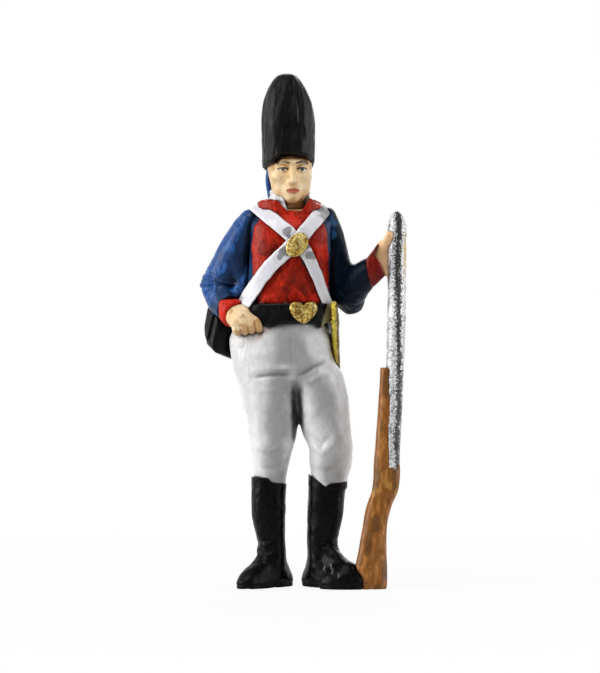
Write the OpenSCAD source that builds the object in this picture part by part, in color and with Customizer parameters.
/* [Figure] */
// Height of each boot, from the ground to its top edge
boot_h = 13.7; // [13:0.1:14.4]
// Height of the breeches, from the boot tops to the waist seam
breeches_h = 20.3; // [19.6:0.1:21]
// Height of the coat body, from the waist seam to the neck seat
torso_h = 14.4; // [13.8:0.1:15]
// Height of the neck and head, up to the crown
head_h = 7.6; // [7.2:0.1:8]
// Width of the coat body across the chest
chest_w = 12.2; // [11.6:0.1:12.8]
// Depth of the coat body through the chest
chest_d = 7.8; // [7.4:0.1:8.2]
// Width across the hips
hip_w = 13.2; // [12.6:0.1:13.8]
// Depth through the hips
hip_d = 8; // [7.6:0.1:8.4]
// Width of the head
head_w = 6; // [5.7:0.1:6.3]
// Depth of the head
head_d = 7; // [6.7:0.1:7.3]

/* [Boots] */
// Length of each boot sole
foot_l = 9.4; // [8.8:0.1:10]
// Width of each boot sole
foot_w = 3.7; // [3.4:0.1:4]
// Width of each boot shaft
shaft_w = 4.6; // [4.4:0.1:4.8]
// How far each foot turns out
toe_out = 42; // [36:1:46]

/* [Cap] */
// Width of the fur cap
cap_w = 6.9; // [6.7:0.1:7.3]
// Depth of the fur cap
cap_d = 8.2; // [8:0.1:8.6]
// Height of the fur cap
cap_h = 13; // [12:0.1:14]
// How far the cap comes down over the head
cap_seat = 3.2; // [2.9:0.1:3.5]

/* [Arms] */
// Width of each sleeve at the middle of the upper arm
sleeve_w = 4.8; // [4.4:0.1:5.1]
// Length of each cuff
cuff_l = 1.9; // [1.6:0.1:2.2]
// Length of the fist that rests on the hip
fist_l = 4.4; // [4.1:0.1:4.7]
// Height of the hand that holds the musket
grip_l = 5.8; // [5.4:0.1:6.2]

/* [Coat and belts] */
// Thickness of the coat front over the coat body
front_t = 0.3; // [0.25:0.05:0.4]
// Thickness of the sword belt over the coat front
belt_t = 0.4; // [0.3:0.05:0.5]
// Width of the two cross belts
belt_w = 1.8; // [1.5:0.1:2]
// How far the pouch belt stands over the sword belt
lap_t = 0.3; // [0.25:0.05:0.4]
// Height of the waist belt
waist_belt_h = 2.5; // [2.2:0.1:2.8]
// Thickness of the waist belt
waist_belt_t = 0.8; // [0.7:0.05:0.95]
// Length of the oval plate where the cross belts meet
plate_l = 3.4; // [3:0.1:3.7]
// Thickness of the oval plate and of the waist buckle
plate_t = 0.5; // [0.4:0.05:0.6]
// Width of the waist buckle
buckle_w = 3.5; // [3.1:0.1:3.8]
// Height of the collar
collar_h = 1.8; // [1.6:0.1:2]
// Length of the coat tails below the waist
tail_l = 10; // [9:0.1:11]

/* [Pouch and sword] */
// Width of the cartridge pouch
pouch_w = 6; // [5.6:0.1:6.3]
// Height of the cartridge pouch
pouch_h = 6.2; // [5.8:0.1:6.6]
// Thickness of the cartridge pouch body
pouch_t = 2.6; // [2.3:0.1:2.9]
// Thickness of the flap over the pouch
flap_t = 0.5; // [0.4:0.05:0.6]
// Length of the scabbard
scabbard_l = 8.6; // [8:0.1:9.2]
// Width of the scabbard
scabbard_w = 1.8; // [1.6:0.1:2]

/* [Musket] */
// Distance from the spine to the barrel
musket_reach = 13.75; // [13.6:0.05:13.9]
// Height of the muzzle over the ground
musket_h = 48.2; // [47:0.1:50]
// Height of the breech over the ground
breech_h = 15.2; // [14.6:0.1:15.8]
// Diameter of the barrel
barrel_d = 2.5; // [2.3:0.1:2.6]
// Depth of the butt, from heel to toe
butt_w = 4.2; // [4:0.1:4.4]
// Height of the wooden fore-end over the ground
fore_end_h = 28.6; // [27:0.1:30]

/* [Joints] */
// Diameter of the pegs at the waist and the neck
main_peg_d = 2.4; // [2:0.1:2.8]
// Diameter of the pegs at the shoulders and ankles
limb_peg_d = 1.6; // [1.4:0.1:1.8]
// Diameter of the pegs at the wrists and the breech
wrist_peg_d = 1.2; // [1:0.1:1.3]
// How far a peg reaches into its socket
peg_l = 1.8; // [1.5:0.1:2]
// Gap round each peg for glue
peg_gap = 0.05; // [0.03:0.01:0.08]

/* [Hidden] */

// Sides of the large skins, of the limbs and of the round pegs
SIDES = 24;
LIMB_SIDES = 18;
$fn = 32;
// One overrun for every cut that has to pass right through
over = 30;
// Where the spine stands in plan, from the middle of the whole piece
spine_x = -1.9;
spine_y = -0.3;

// Levels of the main seams
z_waist = boot_h + breeches_h;
z_neck = z_waist + torso_h;
z_crown = z_neck + head_h;
z_cap = z_crown - cap_seat;
spine = [spine_x, spine_y, 0];

// Thickness of everything worn over the coat body, from its surface outwards
sword_belt_out = front_t + belt_t;
pouch_belt_out = sword_belt_out + lap_t;
plate_out = pouch_belt_out + plate_t;
buckle_out = waist_belt_t + plate_t;
flap_cloth_t = 0.45;

// Squareness of the sections: 2 is an ellipse, more is boxier
body_squareness = 2.4;
head_squareness = 2.2;
foot_squareness = 2.6;
round_squareness = 2;

// Each row of a body table: height, sideways place, half width, fore-aft place, half depth
torso_shares = [
    [0.000, -0.041, 0.484, 0.013, 0.436],
    [0.174, -0.016, 0.443, 0.000, 0.423],
    [0.424, 0.010, 0.434, -0.013, 0.460],
    [0.667, 0.020, 0.430, -0.026, 0.500],
    [0.820, 0.020, 0.430, -0.013, 0.474],
    [0.905, 0.016, 0.402, 0.000, 0.420],
    [0.960, 0.010, 0.330, 0.013, 0.350],
    [1.000, 0.005, 0.256, 0.013, 0.300]
];
pelvis_shares = [
    [0.450, 0.070, 0.080, 0.000, 0.120],
    [0.520, 0.060, 0.220, 0.000, 0.260],
    [0.600, 0.035, 0.430, 0.000, 0.400],
    [0.675, -0.005, 0.503, 0.000, 0.500],
    [0.754, -0.061, 0.485, 0.000, 0.512],
    [0.882, -0.080, 0.496, 0.000, 0.500],
    [0.960, -0.060, 0.465, 0.000, 0.455],
    [1.000, -0.040, 0.440, 0.000, 0.425]
];
right_leg_shares = [
    [0.000, -0.189, 0.164, 0.075, 0.281],
    [0.084, -0.178, 0.178, 0.062, 0.312],
    [0.222, -0.155, 0.208, 0.038, 0.362],
    [0.355, -0.151, 0.242, 0.012, 0.412],
    [0.507, -0.189, 0.265, 0.000, 0.462],
    [0.675, -0.227, 0.280, 0.000, 0.488],
    [0.803, -0.250, 0.273, 0.000, 0.475]
];
left_leg_shares = [
    [0.000, 0.386, 0.182, 0.062, 0.288],
    [0.103, 0.405, 0.205, 0.050, 0.325],
    [0.197, 0.409, 0.212, 0.025, 0.362],
    [0.286, 0.375, 0.235, 0.012, 0.388],
    [0.384, 0.348, 0.250, 0.000, 0.412],
    [0.512, 0.330, 0.254, 0.000, 0.450],
    [0.655, 0.284, 0.239, 0.000, 0.475],
    [0.803, 0.189, 0.227, 0.000, 0.475]
];
skirt_shares = [
    [0.00, 0.010, 0.430, 0.060, 0.580],
    [0.55, -0.048, 0.494, 0.050, 0.585],
    [0.78, -0.053, 0.502, 0.040, 0.570],
    [1.00, -0.038, 0.480, 0.020, 0.500]
];
head_shares = [
    [0.000, 0.025, 0.290, 0.010, 0.370],
    [0.080, 0.025, 0.320, -0.010, 0.380],
    [0.150, 0.025, 0.350, -0.035, 0.405],
    [0.260, 0.025, 0.400, -0.043, 0.443],
    [0.450, 0.025, 0.458, -0.029, 0.479],
    [0.660, 0.025, 0.492, -0.021, 0.493],
    [0.860, 0.025, 0.500, -0.014, 0.493],
    [1.000, 0.025, 0.475, -0.007, 0.471]
];
cap_shares = [
    [0.000, 0.000, 0.464, 0.030, 0.485],
    [0.170, 0.000, 0.486, 0.020, 0.500],
    [0.385, 0.000, 0.500, -0.005, 0.475],
    [0.554, -0.010, 0.490, -0.030, 0.435],
    [0.677, -0.020, 0.455, -0.050, 0.385],
    [0.785, -0.025, 0.400, -0.065, 0.325],
    [0.877, -0.030, 0.325, -0.080, 0.255],
    [0.946, -0.030, 0.232, -0.090, 0.175],
    [0.985, -0.030, 0.134, -0.090, 0.105],
    [1.000, -0.030, 0.060, -0.090, 0.050]
];
// Each row of the butt table: height, sideways place and half depth of the butt, half thickness
stock_shares = [
    [0.000, -0.53, 0.31, 0.24],
    [0.040, -0.54, 0.42, 0.28],
    [0.150, -0.58, 0.49, 0.29],
    [0.320, -0.54, 0.43, 0.27],
    [0.600, -0.43, 0.37, 0.25],
    [0.710, -0.33, 0.38, 0.25],
    [0.830, -0.16, 0.40, 0.26],
    [1.000, -0.10, 0.40, 0.27],
    [1.200, -0.15, 0.31, 0.26],
    [1.600, -0.09, 0.28, 0.25],
    [1.820, -0.05, 0.26, 0.24]
];

// One closed section as a superellipse, turned about its centre
function squash(v, squareness) = sign(v) * pow(abs(v), 2 / squareness);
function ring(centre, half_w, half_d, squareness, sides, turn = 0) = [
    for (i = [0:sides - 1])
        let (
            a = 360 * i / sides,
            u = half_w * squash(cos(a), squareness),
            v = half_d * squash(sin(a), squareness)
        )
        [centre.x + u * cos(turn) - v * sin(turn), centre.y + u * sin(turn) + v * cos(turn), centre.z]
];

// Rings of a body table over a base point, with every section grown by the same amount
function body_rings(shares, base, height, width, depth, grow, squareness, sides) = [
    for (row = shares)
        ring(
            base + [row[1] * width, row[3] * depth, row[0] * height],
            row[2] * width + grow, row[4] * depth + grow, squareness, sides
        )
];

// Skin over a stack of rings that run counterclockwise about the way they climb
module skin(rings) {
    n = len(rings[0]);
    last = len(rings) - 1;
    sides = [
        for (k = [0:last - 1], i = [0:n - 1], half = [0, 1])
            let (a = k * n + i, b = k * n + (i + 1) % n)
            half == 0 ? [a, a + n, b + n] : [a, b + n, b]
    ];
    ends = [[for (i = [0:n - 1]) i], [for (i = [0:n - 1]) last * n + n - 1 - i]];
    polyhedron(points = [for (r = rings) each r], faces = concat(ends, sides));
}

// A section square to a path, with its first half size across the figure and its second in the
// plane that runs up and fore-aft
function unit(v) = v / norm(v);
function path_ring(centre, along, across_half, up_half, squareness, sides) =
    let (up = unit(cross(along, [1, 0, 0])), across = cross(up, along))
    [
        for (i = [0:sides - 1])
            let (a = 360 * i / sides)
            centre + across * across_half * squash(cos(a), squareness)
                + up * up_half * squash(sin(a), squareness)
    ];
function bezier(p, t) =
    pow(1 - t, 3) * p[0] + 3 * t * pow(1 - t, 2) * p[1] + 3 * t * t * (1 - t) * p[2] + pow(t, 3) * p[3];
function bezier_way(p, t) = unit(
    pow(1 - t, 2) * (p[1] - p[0]) + 2 * t * (1 - t) * (p[2] - p[1]) + t * t * (p[3] - p[2])
);

// A strap's outline along points that each carry a share of the strap's width
function strap_side(points, width, side) = [
    for (i = [0:len(points) - 1])
        let (
            a = points[max(i - 1, 0)],
            b = points[min(i + 1, len(points) - 1)],
            way = unit([b[0] - a[0], b[1] - a[1]])
        )
        [points[i][0], points[i][1]] + side * width / 2 * points[i][2] * [-way[1], way[0]]
];
function reversed(list) = [for (i = [len(list) - 1:-1:0]) list[i]];
function strap_outline(points, width) =
    concat(strap_side(points, width, 1), reversed(strap_side(points, width, -1)));

// A front-view outline pushed through the figure, from the spine forwards or all the way
module front_cutter(outline) {
    translate([0, spine_y, 0]) rotate([90, 0, 0]) linear_extrude(over) polygon(outline);
}
module through_cutter(outline) {
    rotate([90, 0, 0]) linear_extrude(2 * over, center = true) polygon(outline);
}
// Places on the coat in the front view, from shares of its width and height
function coat_point(share) = [spine_x + share[0] * chest_w, z_waist + share[1] * torso_h];
function hip_point(share) = [spine_x + share[0] * hip_w, z_waist - share[1] * breeches_h];
// Places in space over the waist, from shares of the coat's sizes or of the hips' sizes
function coat_place(share) = [
    spine_x + share[0] * chest_w, spine_y + share[1] * chest_d, z_waist + share[2] * torso_h
];
function hip_place(share) = [
    spine_x + share[0] * hip_w, spine_y + share[1] * hip_d, z_waist + share[2] * breeches_h
];

// Round peg or its socket along a given way
module peg(start, way, length, d) {
    turn = [0, acos(way.z), atan2(way.y, way.x)];
    translate(start) rotate(turn) cylinder(d = d, h = length);
}

// Main skins that the pieces are cut from

// The torso skin can run on below the waist seam, where it only cuts other pieces
module torso_skin(grow, drop = 0) {
    rings = body_rings(torso_shares, spine + [0, 0, z_waist], torso_h, chest_w, chest_d, grow,
        body_squareness, SIDES);
    lowest = drop > 0 ? [[for (p = rings[0]) p - [0, 0, drop]]] : [];
    skin(concat(lowest, rings));
}

module breeches_skin() {
    base = spine + [0, 0, boot_h];
    union() {
        skin(body_rings(pelvis_shares, base, breeches_h, hip_w, hip_d, 0, body_squareness, SIDES));
        skin(body_rings(right_leg_shares, base, breeches_h, hip_w, hip_d, 0, body_squareness, LIMB_SIDES));
        skin(body_rings(left_leg_shares, base, breeches_h, hip_w, hip_d, 0, body_squareness, LIMB_SIDES));
    }
}

module head_skin(grow) {
    skin(body_rings(head_shares, spine + [0, 0, z_neck], head_h, head_w, head_d, grow,
        head_squareness, SIDES));
}

// Neck, head and cap

neck_peg_l = peg_l;
crown_peg_l = peg_l;
head_x = spine_x + head_shares[0][1] * head_w;
neck_y = spine_y + head_shares[0][3] * head_d;
nose_h = 1.7;
nose_w = 1.1;
nose_out = 0.75;
nose_level_share = 0.42;
nose_back_share = 0.46;

module nose() {
    translate([head_x, spine_y - nose_back_share * head_d, z_neck + nose_level_share * head_h])
        hull() {
            translate([-nose_w / 2, -nose_out, 0]) cube([nose_w, nose_out, nose_w / 2]);
            translate([-nose_w / 4, 0, nose_h]) cube([nose_w / 2, nose_out / 2, nose_w / 4]);
            translate([-nose_w / 2, 0, 0]) cube([nose_w, nose_out, nose_w / 2]);
        }
}

module head() {
    color("#f0c896") union() {
        head_skin(0);
        nose();
        peg([head_x, neck_y, z_neck - neck_peg_l], [0, 0, 1], neck_peg_l + head_h / 2, main_peg_d);
        peg([head_x, spine_y, z_crown - crown_peg_l], [0, 0, 1], 2 * crown_peg_l, main_peg_d);
    }
}

// The cap's lower edge drops from the brow to the nape
brow_level_share = 0.875;
edge_fall = 19;
module below_cap_edge() {
    translate([spine_x - over, spine_y - head_d / 2, z_neck + brow_level_share * head_h])
        rotate([-edge_fall, 0, 0])
            translate([0, -over, -2 * over]) cube([2 * over, 3 * over, 2 * over]);
}

module cap_skin() {
    skin(body_rings(cap_shares, spine + [0, 0, z_cap], cap_h, cap_w, cap_d, 0, body_squareness, SIDES));
}

module cap() {
    color("#262624") difference() {
        cap_skin();
        head_skin(0);
        below_cap_edge();
        peg([head_x, spine_y, z_crown - crown_peg_l], [0, 0, 1], 2 * crown_peg_l + peg_gap,
            main_peg_d + 2 * peg_gap);
    }
}

// White stock round the neck, from the neck seat up behind the jaw
stock_w = 5.3;
stock_d = 5.2;
stock_h = 2.5;
stock_level_shares = [0, 0.6, 1];
module stock_skin() {
    skin([
        for (level_share = stock_level_shares)
            ring([head_x, neck_y, z_neck + level_share * stock_h], stock_w / 2, stock_d / 2,
                head_squareness, SIDES)
    ]);
}

module neck_stock() {
    color("#f2f0ee") difference() {
        stock_skin();
        head_skin(0);
        nose();
    }
}

// Cloth behind the head, from the cap's edge down to the collar
flap_front_share = 0.03;
module flap_cloth() {
    intersection() {
        head_skin(flap_cloth_t);
        translate([spine_x - over, spine_y + flap_front_share * head_d, z_neck])
            cube([2 * over, over, over]);
    }
}

module cap_neck_flap() {
    color("#2a56a0") difference() {
        intersection() {
            flap_cloth();
            below_cap_edge();
        }
        head_skin(0);
        stock_skin();
    }
}

// Flared collar with an open notch at the throat, closed round the stock and the cloth
collar_top_w = 7.3;
collar_low_w = 9.4;
collar_sink = 0.9;
notch_w = 7;
notch_low_share = 0.3;
module collar_skin() {
    top_depth = collar_top_w * chest_d / chest_w;
    low_depth = collar_low_w * chest_d / chest_w;
    base = [head_x, neck_y, z_neck - collar_sink];
    skin([
        ring(base, collar_low_w / 2, low_depth / 2, head_squareness, SIDES),
        ring(base + [0, 0, collar_h / 2], collar_low_w / 2, low_depth / 2, head_squareness, SIDES),
        ring(base + [0, 0, collar_h], collar_top_w / 2, top_depth / 2, head_squareness, SIDES)
    ]);
}

module coat_collar() {
    throat = z_neck - collar_sink;
    color("#c8221c") difference() {
        collar_skin();
        torso_skin(0);
        stock_skin();
        head_skin(0);
        flap_cloth();
        front_cutter([
            [head_x, throat + notch_low_share * collar_h], [head_x + notch_w / 2, throat + 2 * collar_h],
            [head_x - notch_w / 2, throat + 2 * collar_h]
        ]);
    }
}

// Arms: each runs on one smooth curve from the shoulder to the wrist

// Where each arm starts and where its curve is drawn out to behind the elbow
right_shoulder_share = [-0.40, 0.03, 0.945];
right_elbow_share = [-0.72, 0.35, 0.305];
left_shoulder_share = [0.36, 0.06, 0.915];
left_elbow_share = [0.66, 0.42, -0.06];
fist_way = unit([0.479, -0.781, -0.403]);
grip_way = unit([0.735, -0.44, 0.36]);
// The fist rests on the hip, over the waist seam
right_wrist_share = [-0.606, -0.072, 0.12];
right_wrist = coat_place(right_wrist_share);
musket_forward_share = 0.43;
grip_level_share = 0.59;
musket_x = spine_x + musket_reach;
musket_y = spine_y - musket_forward_share * hip_d;
grip_z = z_waist + grip_level_share * torso_h;
grip_arm = 3.6;
left_wrist = [musket_x, musket_y, grip_z] - grip_way * grip_arm;

forearm_pull = 5;
function arm_curve(shoulder_share, elbow_share, wrist, way) =
    [coat_place(shoulder_share), coat_place(elbow_share), wrist - way * forearm_pull, wrist];
right_arm_curve = arm_curve(right_shoulder_share, right_elbow_share, right_wrist, fist_way);
left_arm_curve = arm_curve(left_shoulder_share, left_elbow_share, left_wrist, grip_way);
// Each row: place along the arm, half width and half height as shares of the sleeve's width
sleeve_shares = [
    [0.00, 0.20, 0.20], [0.03, 0.33, 0.35], [0.10, 0.43, 0.46], [0.24, 0.49, 0.50], [0.38, 0.53, 0.50],
    [0.50, 0.52, 0.50], [0.62, 0.48, 0.48], [0.76, 0.45, 0.45], [0.88, 0.43, 0.42], [1.00, 0.40, 0.40]
];

module arm_skin(curve, end_way) {
    skin([
        for (row = sleeve_shares)
            path_ring(bezier(curve, row[0]), row[0] == 1 ? end_way : bezier_way(curve, row[0]),
                row[1] * sleeve_w, row[2] * sleeve_w, round_squareness, LIMB_SIDES)
    ]);
}
module right_arm_skin() {
    arm_skin(right_arm_curve, fist_way);
}
module left_arm_skin() {
    arm_skin(left_arm_curve, grip_way);
}

// A shoulder peg runs level out of the coat body
shoulder_peg_y = spine_y + 0.06 * chest_d;
shoulder_peg_z = z_waist + 0.80 * torso_h;
shoulder_peg_root_share = 0.30;
shoulder_peg_l = 1.2;
shoulder_peg_reach = (torso_shares[4][2] - shoulder_peg_root_share) * chest_w + shoulder_peg_l;
module shoulder_peg(side, gap) {
    root = [spine_x + side * shoulder_peg_root_share * chest_w, shoulder_peg_y, shoulder_peg_z];
    peg(root, [side, 0, 0], shoulder_peg_reach + gap, limb_peg_d + 2 * gap);
}
// A wrist peg runs from the hand through the cuff into the sleeve
module wrist_peg(wrist, way, gap) {
    start = wrist - way * (peg_l + gap);
    peg(start, way, peg_l + gap + cuff_l + wrist_peg_d, wrist_peg_d + 2 * gap);
}

module right_sleeve() {
    color("#2a56a0") difference() {
        right_arm_skin();
        torso_skin(0);
        waist_band();
        shoulder_peg(-1, peg_gap);
        wrist_peg(right_wrist, fist_way, peg_gap);
    }
}

module left_sleeve() {
    color("#14284a") difference() {
        left_arm_skin();
        torso_skin(0);
        waist_band();
        shoulder_peg(1, peg_gap);
        wrist_peg(left_wrist, grip_way, peg_gap);
    }
}

cuff_flare_share = 0.46;
cuff_mouth_share = 0.44;
module cuff_skin(wrist, way) {
    start_half = sleeve_shares[len(sleeve_shares) - 1][1] * sleeve_w;
    skin([
        path_ring(wrist, way, start_half, start_half, round_squareness, LIMB_SIDES),
        path_ring(wrist + way * cuff_l / 4, way, cuff_flare_share * sleeve_w, cuff_flare_share * sleeve_w,
            round_squareness, LIMB_SIDES),
        path_ring(wrist + way * cuff_l, way, cuff_mouth_share * sleeve_w, cuff_mouth_share * sleeve_w,
            round_squareness, LIMB_SIDES)
    ]);
}

module right_cuff() {
    color("#c8221c") difference() {
        cuff_skin(right_wrist, fist_way);
        torso_skin(pouch_belt_out);
        breeches_skin();
        wrist_peg(right_wrist, fist_way, peg_gap);
    }
}

module left_cuff() {
    color("#8c1814") difference() {
        cuff_skin(left_wrist, grip_way);
        barrel_body(0);
        wrist_peg(left_wrist, grip_way, peg_gap);
    }
}

// Each row: place along the fist, step across, half width, half height, as shares of its length
fist_shares = [
    [0.00, 0.00, 0.34, 0.34], [0.18, 0.04, 0.44, 0.42], [0.45, 0.14, 0.53, 0.45],
    [0.70, 0.22, 0.47, 0.40], [0.88, 0.26, 0.30, 0.26], [0.95, 0.27, 0.14, 0.12]
];
fist_depth_share = 0.82;
module fist_skin() {
    start = right_wrist + fist_way * cuff_l;
    skin([
        for (row = fist_shares)
            path_ring(start + fist_way * row[0] * fist_l * fist_depth_share + [row[1] * fist_l, 0, 0],
                fist_way, row[2] * fist_l, row[3] * fist_l, round_squareness, LIMB_SIDES)
    ]);
}

module right_hand() {
    color("#f0b878") difference() {
        union() {
            fist_skin();
            wrist_peg(right_wrist, fist_way, 0);
        }
        torso_skin(pouch_belt_out);
        breeches_skin();
    }
}

// Each row: place along the hand past the cuff as a share of the way to the barrel,
// then half thickness and half height as shares of the hand's height
grip_shares = [
    [0.00, 0.24, 0.28], [0.35, 0.27, 0.36], [0.80, 0.31, 0.50],
    [1.10, 0.27, 0.46], [1.35, 0.17, 0.32], [1.48, 0.07, 0.13]
];
// The barrel's front stays free of the fingers
grip_open = 0.35;
module grip_skin() {
    start = left_wrist + grip_way * cuff_l;
    span = grip_arm - cuff_l;
    skin([
        for (row = grip_shares)
            path_ring(start + grip_way * row[0] * span, grip_way, row[1] * grip_l, row[2] * grip_l,
                round_squareness, LIMB_SIDES)
    ]);
}

module left_hand() {
    color("#f0b878") difference() {
        union() {
            grip_skin();
            wrist_peg(left_wrist, grip_way, 0);
        }
        barrel_body(0);
        translate([musket_x - barrel_d / 4, musket_y - over - grip_open, grip_z - grip_l])
            cube([over, over, 2 * grip_l]);
    }
}

// Coat

waist_peg_l = peg_l;
waist_peg_d = main_peg_d;
module coat_body() {
    color("#2a56a0") difference() {
        union() {
            torso_skin(0);
            shoulder_peg(-1, 0);
            shoulder_peg(1, 0);
        }
        peg([spine_x, spine_y, z_waist - peg_gap], [0, 0, 1], waist_peg_l + 2 * peg_gap,
            waist_peg_d + 2 * peg_gap);
        peg([head_x, neck_y, z_neck - neck_peg_l - peg_gap], [0, 0, 1], neck_peg_l + over,
            main_peg_d + 2 * peg_gap);
    }
}

front_outline_shares = [
    [-0.32, 0.169], [-0.375, 0.47], [-0.36, 0.845], [-0.22, 0.97],
    [0.27, 0.97], [0.418, 0.845], [0.45, 0.47], [0.434, 0.169]
];
module front_area() {
    front_cutter([for (p = front_outline_shares) coat_point(p)]);
}

module coat_front() {
    color("#c8221c") difference() {
        intersection() {
            torso_skin(front_t);
            front_area();
        }
        torso_skin(0);
        collar_skin();
        waist_band();
        right_arm_skin();
        left_arm_skin();
    }
}

// Each point of a belt: sideways and height shares on the coat, then a share of the belt's width
sword_belt_shares = [
    [-0.50, 1.08, 1.0], [-0.369, 0.986, 1.0], [0.088, 0.723, 1.0], [0.26, 0.47, 0.8], [0.36, 0.27, 0.7],
    [0.434, 0.10, 0.7]
];
pouch_belt_shares = [
    [0.516, 1.06, 1.0], [0.393, 0.946, 1.0], [0.088, 0.723, 1.0], [-0.197, 0.49, 1.0], [-0.475, 0.162, 1.0],
    [-0.56, 0.06, 1.0]
];
function belt_outline(shares) =
    strap_outline([for (p = shares) concat(coat_point(p), [p[2]])], belt_w);
waist_belt_top = z_waist + waist_belt_h;
module above_waist_belt() {
    translate([-over, -over, waist_belt_top]) cube([2 * over, 2 * over, over]);
}

module sword_belt() {
    color("#eceaee") difference() {
        intersection() {
            torso_skin(sword_belt_out);
            through_cutter(belt_outline(sword_belt_shares));
            above_waist_belt();
        }
        intersection() {
            torso_skin(front_t);
            front_area();
        }
        torso_skin(0);
        collar_skin();
        right_arm_skin();
        left_arm_skin();
    }
}

module pouch_belt() {
    color("#eceaee") difference() {
        intersection() {
            torso_skin(pouch_belt_out);
            through_cutter(belt_outline(pouch_belt_shares));
            above_waist_belt();
        }
        intersection() {
            torso_skin(front_t);
            front_area();
        }
        intersection() {
            torso_skin(sword_belt_out);
            through_cutter(belt_outline(sword_belt_shares));
        }
        torso_skin(0);
        collar_skin();
        right_arm_skin();
        left_arm_skin();
    }
}

plate_centre_share = [0.088, 0.70];
plate_aspect = 0.72;
plate_turn = 52;
module belt_plate() {
    c = coat_point(plate_centre_share);
    color("#c8a83c") difference() {
        intersection() {
            torso_skin(plate_out);
            translate([c[0], spine_y, c[1]]) rotate([90, 0, 0]) linear_extrude(over)
                rotate(plate_turn) polygon(ring2d(plate_l / 2, plate_aspect * plate_l / 2));
        }
        torso_skin(pouch_belt_out);
    }
}
function ring2d(half_w, half_h) = [
    for (i = [0:LIMB_SIDES - 1]) let (a = 360 * i / LIMB_SIDES) [half_w * cos(a), half_h * sin(a)]
];

// The solid band that the waist belt is cut from, and that the sleeves lie against
module waist_band() {
    intersection() {
        torso_skin(waist_belt_t, waist_belt_h / 2);
        translate([-over, -over, z_waist]) cube([2 * over, 2 * over, waist_belt_h]);
    }
}
module waist_belt() {
    color("#161616") difference() {
        waist_band();
        torso_skin(0, waist_belt_h);
    }
}

// Heart-like buckle: two round lobes over a blunt point
buckle_shares = [
    [0.00, 0.36], [0.16, 0.50], [0.36, 0.50], [0.50, 0.34], [0.49, 0.08], [0.33, -0.24],
    [0.13, -0.46], [0.00, -0.50], [-0.13, -0.46], [-0.33, -0.24], [-0.49, 0.08], [-0.50, 0.34],
    [-0.36, 0.50], [-0.16, 0.50]
];
buckle_h = 2.7;
buckle_place_share = 0.155;
module belt_buckle() {
    buckle_x = spine_x + buckle_place_share * chest_w;
    buckle_z = z_waist + waist_belt_h / 2;
    color("#c8a83c") difference() {
        intersection() {
            buckle_backing();
            front_cutter([for (p = buckle_shares) [buckle_x + p[0] * buckle_w, buckle_z + p[1] * buckle_h]]);
        }
        torso_skin(waist_belt_t);
        breeches_skin();
    }
}
// The buckle hangs a little past both edges of the belt, so its block is deeper than the coat
module buckle_backing() {
    low = torso_shares[0];
    rings = [
        for (level = [z_waist - buckle_h / 4, z_waist + waist_belt_h + buckle_h / 4])
            ring([spine_x + low[1] * chest_w, spine_y, level], low[2] * chest_w + buckle_out,
                low[4] * chest_d + buckle_out, body_squareness, SIDES)
    ];
    skin(rings);
}

// Coat tails behind the hips, with a vent between them

tail_front = 0.9;
vent_w = 0.3;
vent_side_share = 0.075;
vent_x = spine_x - vent_side_share * hip_w;
turnback_outline_shares = [
    [0.29, -0.01], [0.29, 0.02], [0.34, 0.20], [0.405, 0.32], [0.60, 0.36], [0.60, -0.01]
];
module skirt_skin() {
    skin(body_rings(skirt_shares, spine + [0, 0, z_waist - tail_l], tail_l, hip_w, hip_d, 0,
        body_squareness, SIDES));
}
module behind_hips(from_x, to_x) {
    translate([from_x, spine_y + tail_front, z_waist - 2 * tail_l])
        cube([to_x - from_x, over, 3 * tail_l]);
}

module right_coat_tail() {
    color("#2a56a0") difference() {
        intersection() {
            skirt_skin();
            behind_hips(spine_x - over, vent_x - vent_w / 2);
        }
        breeches_skin();
    }
}

module left_coat_tail() {
    color("#2a56a0") difference() {
        intersection() {
            skirt_skin();
            union() {
                behind_hips(vent_x + vent_w / 2, spine_x + over);
                through_cutter([for (p = turnback_outline_shares) hip_point(p)]);
            }
        }
        breeches_skin();
    }
}

// Breeches and boots

module leg_peg(side_shares, gap) {
    foot = side_shares[0];
    peg([spine_x + foot[1] * hip_w, spine_y + foot[3] * hip_d, boot_h - peg_l - gap], [0, 0, 1],
        2 * peg_l + gap, limb_peg_d + 2 * gap);
}

module breeches() {
    color("#dcdcde") union() {
        breeches_skin();
        peg([spine_x, spine_y, z_waist - waist_peg_l], [0, 0, 1], 2 * waist_peg_l, waist_peg_d);
        leg_peg(right_leg_shares, 0);
        leg_peg(left_leg_shares, 0);
    }
}

// Each row: height, how much of the ankle's lean is left, then half width and half depth
shaft_shares = [
    [0.37, 1.0, 0.385, 0.42], [0.45, 0.5, 0.42, 0.45], [0.60, 0.0, 0.46, 0.48],
    [0.75, -0.2, 0.485, 0.50], [0.92, -0.1, 0.49, 0.51], [1.00, 0.0, 0.495, 0.51]
];
// Each row: height, step along the foot, half length, half width, as shares of the boot's own sizes
foot_shares = [
    [0.000, 0.15, 0.49, 0.46], [0.050, 0.15, 0.50, 0.50], [0.110, 0.14, 0.49, 0.50],
    [0.175, 0.10, 0.43, 0.47], [0.235, 0.05, 0.33, 0.45], [0.295, 0.01, 0.25, 0.45]
];
// The sole's heel notch
heel_gap_h = 0.5;
heel_gap_l = 1.5;
heel_back_share = 0.10;

// How far each ankle stands in towards the other boot, as shares of the shaft's width
right_lean_share = 0.08;
left_lean_share = 0.16;
// How fast the turned-out foot goes over into the square shaft
turn_fade = 4;
function boot_base(leg_shares) =
    [spine_x + leg_shares[0][1] * hip_w, spine_y + leg_shares[0][3] * hip_d, 0];

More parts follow.
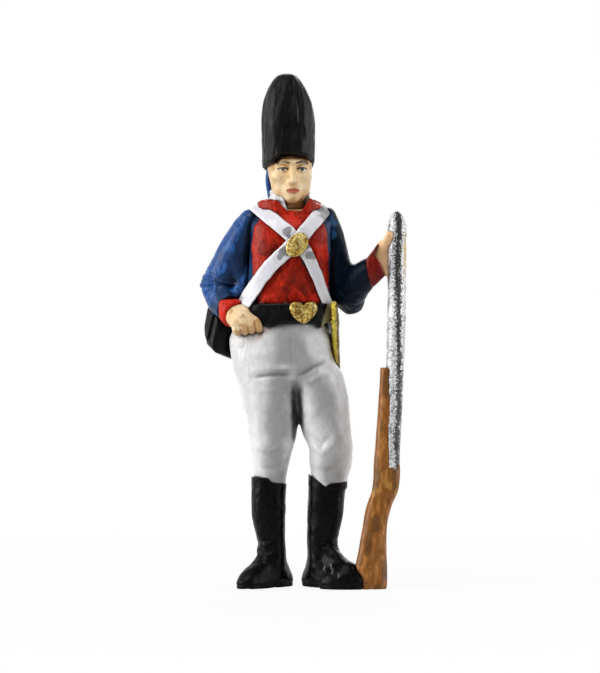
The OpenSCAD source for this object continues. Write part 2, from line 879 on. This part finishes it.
module boot_skin(leg_shares, side, lean_share) {
    base = boot_base(leg_shares);
    ankle = base + [-side * lean_share * shaft_w, 0, 0];
    turn = side * toe_out;
    toe_way = [sin(turn), -cos(turn), 0];
    foot_rings = [
        for (row = foot_shares)
            ring(ankle + toe_way * row[1] * foot_l + [0, 0, row[0] * boot_h],
                row[3] * foot_w, row[2] * foot_l, foot_squareness, LIMB_SIDES, turn)
    ];
    shaft_rings = [
        for (row = shaft_shares)
            ring(base + [-side * row[1] * lean_share * shaft_w, 0, row[0] * boot_h],
                row[2] * shaft_w, row[3] * shaft_w, body_squareness, LIMB_SIDES,
                turn * max(0, 1 - (row[0] - shaft_shares[0][0]) * turn_fade))
    ];
    skin(concat(foot_rings, shaft_rings));
}

module boot(leg_shares, side, lean_share) {
    ankle = boot_base(leg_shares) + [-side * lean_share * shaft_w, 0, 0];
    color("#141414") difference() {
        boot_skin(leg_shares, side, lean_share);
        leg_peg(leg_shares, peg_gap);
        translate(ankle) rotate([0, 0, side * toe_out])
            translate([-over / 2, -heel_back_share * foot_l - heel_gap_l / 2, -over + heel_gap_h])
                cube([over, heel_gap_l, over]);
    }
}
module right_boot() {
    boot(right_leg_shares, -1, right_lean_share);
}
module left_boot() {
    boot(left_leg_shares, 1, left_lean_share);
}

// Cartridge pouch behind the right hip

pouch_corner = 1.7;
pouch_lean = 12;
pouch_swing = 32;
pouch_share = [-0.57, 0.33, -0.085];
flap_rim = 0.25;
flap_cover_share = 0.72;
module pouch_place() {
    translate(hip_place(pouch_share)) rotate([0, 0, pouch_swing]) rotate([0, pouch_lean, 0])
        rotate([90, 0, 0]) children();
}
module pouch_outline(grow) {
    low = -pouch_h / 2 - grow;
    half = pouch_w / 2 + grow;
    hull() {
        translate([-half, pouch_h / 2 + grow - pouch_corner]) square([2 * half, pouch_corner]);
        for (side = [-1, 1])
            translate([side * (half - pouch_corner), low + pouch_corner]) circle(pouch_corner);
    }
}
module pouch_neighbours() {
    skirt_skin();
    breeches_skin();
    right_arm_skin();
    torso_skin(waist_belt_t);
}

module cartridge_pouch() {
    color("#181818") difference() {
        pouch_place() translate([0, 0, -pouch_t / 2]) linear_extrude(pouch_t) pouch_outline(0);
        pouch_neighbours();
    }
}

module pouch_flap() {
    color("#202020") difference() {
        pouch_place() translate([0, 0, -pouch_t / 2 - flap_t]) linear_extrude(flap_t)
            intersection() {
                pouch_outline(flap_rim);
                translate([-pouch_w, pouch_h / 2 + flap_rim - flap_cover_share * pouch_h])
                    square([2 * pouch_w, pouch_h]);
            }
        pouch_neighbours();
    }
}

// Short sword at the left hip

// The sword hangs against the side of the waist belt, or of the hips where they are the wider
sword_forward_share = 0.16;
sword_level_share = 0.04;
sword_hip_share = 0.475;
sword_stand = 0.07;
sword_belt_side = (torso_shares[0][1] + torso_shares[0][2]) * chest_w + waist_belt_t + sword_stand;
sword_x = spine_x + max(sword_belt_side, sword_hip_share * hip_w);
sword_start = [sword_x, spine_y - sword_forward_share * chest_d, z_waist + sword_level_share * torso_h];
sword_way = unit([0.03, 0.52, -0.85]);
sword_thin_share = 0.62;
hilt_l = 2.2;
// Each row: place along the scabbard, half width as a share of its width
scabbard_shares = [[0.00, 0.50], [0.08, 0.56], [0.16, 0.46], [0.80, 0.42], [0.94, 0.34], [1.00, 0.16]];
hilt_shares = [[0.00, 0.52], [0.18, 0.54], [0.30, 0.28], [0.70, 0.32], [0.82, 0.46], [0.95, 0.42], [1.00, 0.2]];

module sword_sweep(start, way, length, shares) {
    skin([
        for (row = shares)
            path_ring(start + way * row[0] * length, way, sword_thin_share * row[1] * scabbard_w,
                row[1] * scabbard_w, foot_squareness, LIMB_SIDES)
    ]);
}
module sword_neighbours() {
    skirt_skin();
    torso_skin(waist_belt_t, waist_belt_h / 2);
}

module sword_scabbard() {
    color("#b8922c") difference() {
        sword_sweep(sword_start, sword_way, scabbard_l, scabbard_shares);
        sword_neighbours();
        breeches_skin();
    }
}

module sword_hilt() {
    color("#d8b848") difference() {
        sword_sweep(sword_start, -sword_way, hilt_l, hilt_shares);
        sword_neighbours();
        left_arm_skin();
    }
}

// Musket: the barrel stands upright from its bend to the muzzle and leans in below

bend_z_share = 0.57;
bend_z = breech_h + bend_z_share * (musket_h - breech_h);
barrel_lean_share = 0.32;
breech_x = musket_x - barrel_lean_share * barrel_d;
muzzle_l = 1.9;
muzzle_arc = 75;
lower_d_share = 0.94;
breech_point = [breech_x, musket_y, breech_h];
bend_point = [musket_x, musket_y, bend_z];
lower_way = unit(bend_point - breech_point);

module barrel_body(gap) {
    d = barrel_d + 2 * gap;
    peg(breech_point, lower_way, norm(bend_point - breech_point) + barrel_d / 4, lower_d_share * d);
    translate(bend_point) cylinder(d = d, h = musket_h - muzzle_l - bend_z);
    translate([musket_x, musket_y, musket_h - muzzle_l]) rotate_extrude() polygon(concat(
        [[0, 0]],
        [for (a = [0:muzzle_arc / 5:muzzle_arc]) [d / 2 * cos(a), muzzle_l * sin(a)]],
        [[0, muzzle_l * sin(muzzle_arc)]]
    ));
}

module musket_barrel() {
    color("#c4c6c8") union() {
        barrel_body(0);
        peg(breech_point - lower_way * peg_l, lower_way, 2 * peg_l, wrist_peg_d);
    }
}

module stock_body() {
    base = [breech_x, musket_y, 0];
    skin([
        for (row = stock_shares)
            ring(base + [row[1] * butt_w, 0, row[0] * breech_h], row[2] * butt_w, row[3] * butt_w,
                body_squareness, LIMB_SIDES)
    ]);
}

module musket_stock() {
    color("#a8702c") difference() {
        stock_body();
        barrel_body(0);
        peg(breech_point - lower_way * (peg_l + peg_gap), lower_way, peg_l + 2 * peg_gap,
            wrist_peg_d + 2 * peg_gap);
        boot_skin(left_leg_shares, 1, left_lean_share);
        translate([-over, -over, fore_end_h]) cube([3 * over, 2 * over, over]);
    }
}

cap();
cap_neck_flap();
head();
neck_stock();
coat_collar();
coat_body();
coat_front();
right_coat_tail();
left_coat_tail();
right_sleeve();
right_cuff();
right_hand();
left_sleeve();
left_cuff();
left_hand();
pouch_belt();
sword_belt();
belt_plate();
waist_belt();
belt_buckle();
breeches();
right_boot();
left_boot();
cartridge_pouch();
pouch_flap();
sword_hilt();
sword_scabbard();
musket_barrel();
musket_stock();
